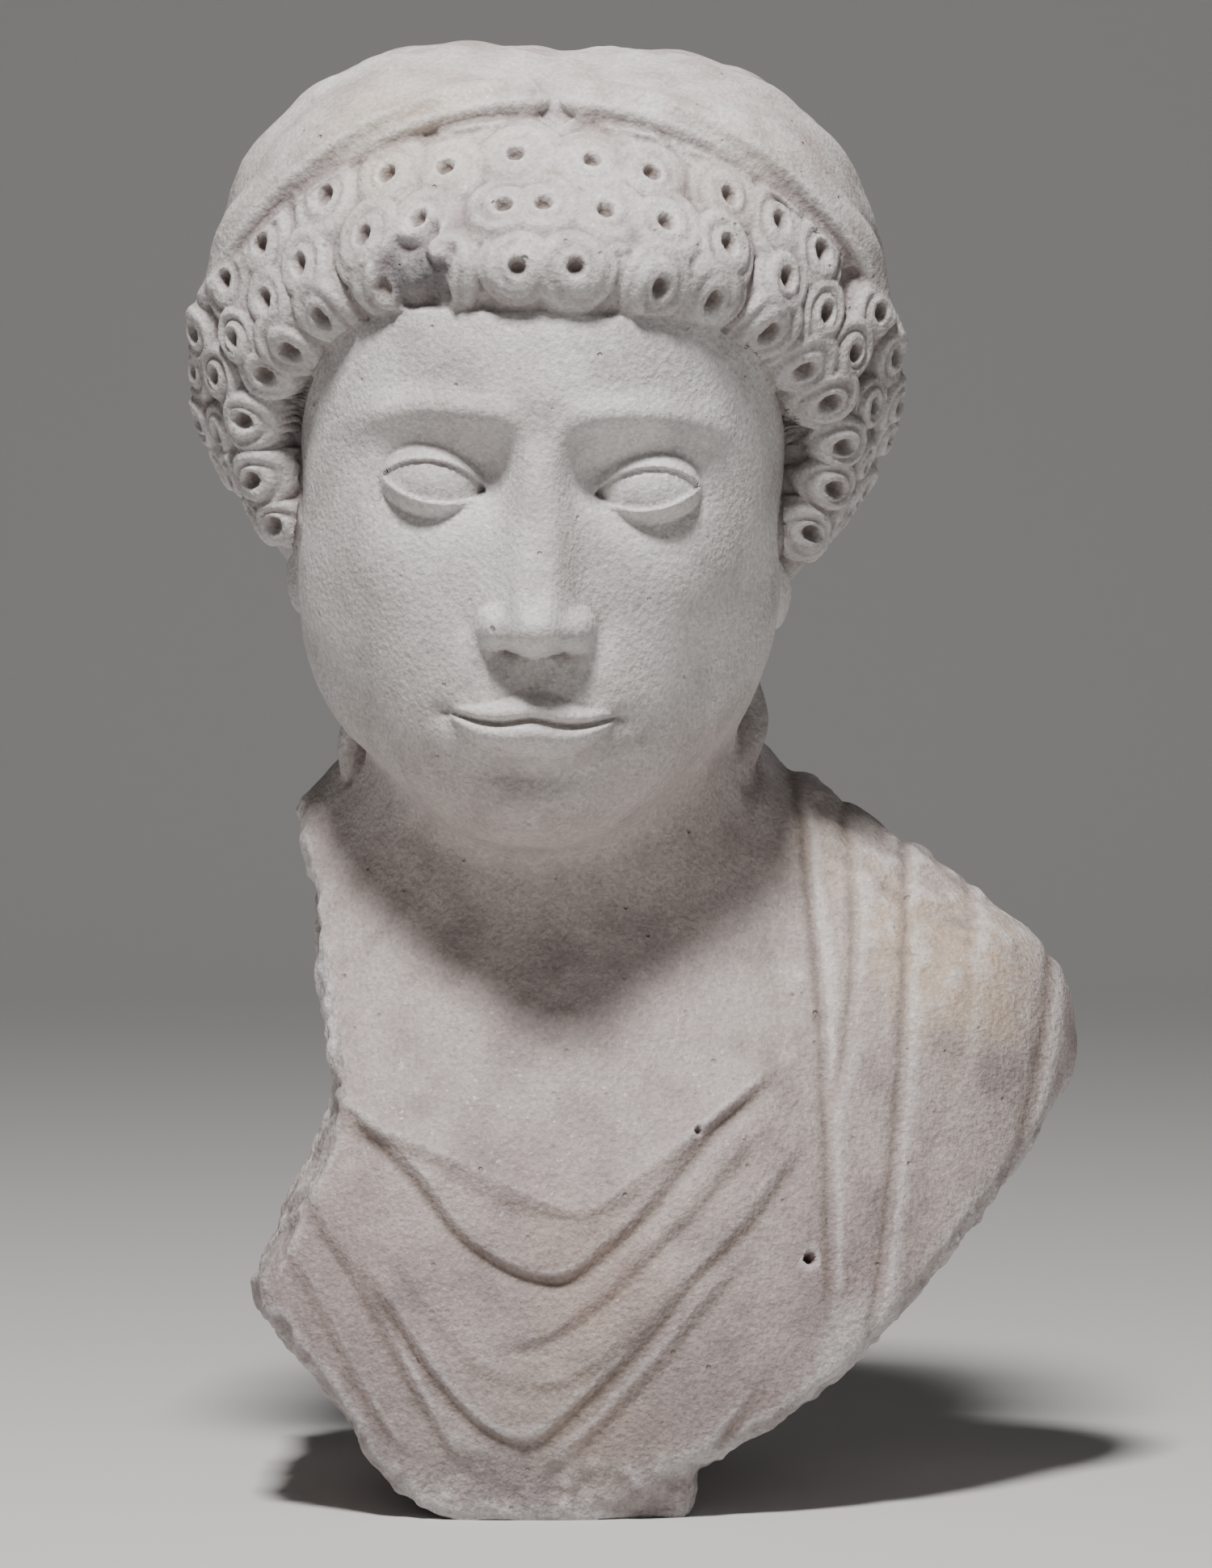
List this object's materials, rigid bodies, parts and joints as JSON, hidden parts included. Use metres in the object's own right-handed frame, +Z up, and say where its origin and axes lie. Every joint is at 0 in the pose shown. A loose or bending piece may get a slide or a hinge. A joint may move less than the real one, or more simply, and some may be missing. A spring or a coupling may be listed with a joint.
{
  "type": "marble portrait bust",
  "caption": "Life-size marble bust of a woman in the Roman manner, with drilled snail curls around the face, a draped shoulder and a broken-off foot it stands on.",
  "frame": {"origin": "middle of the flat underside of the stump, at its height", "axes": "+Z up, the face looks along -Y, and the draped shoulder reaches along +X"},
  "size_m": [0.2595, 0.2079, 0.4204],
  "materials": {
    "marble": "matte"
  },
  "bodies": {
    "root": {"marble_bust": "marble"}
  },
  "joints": []
}
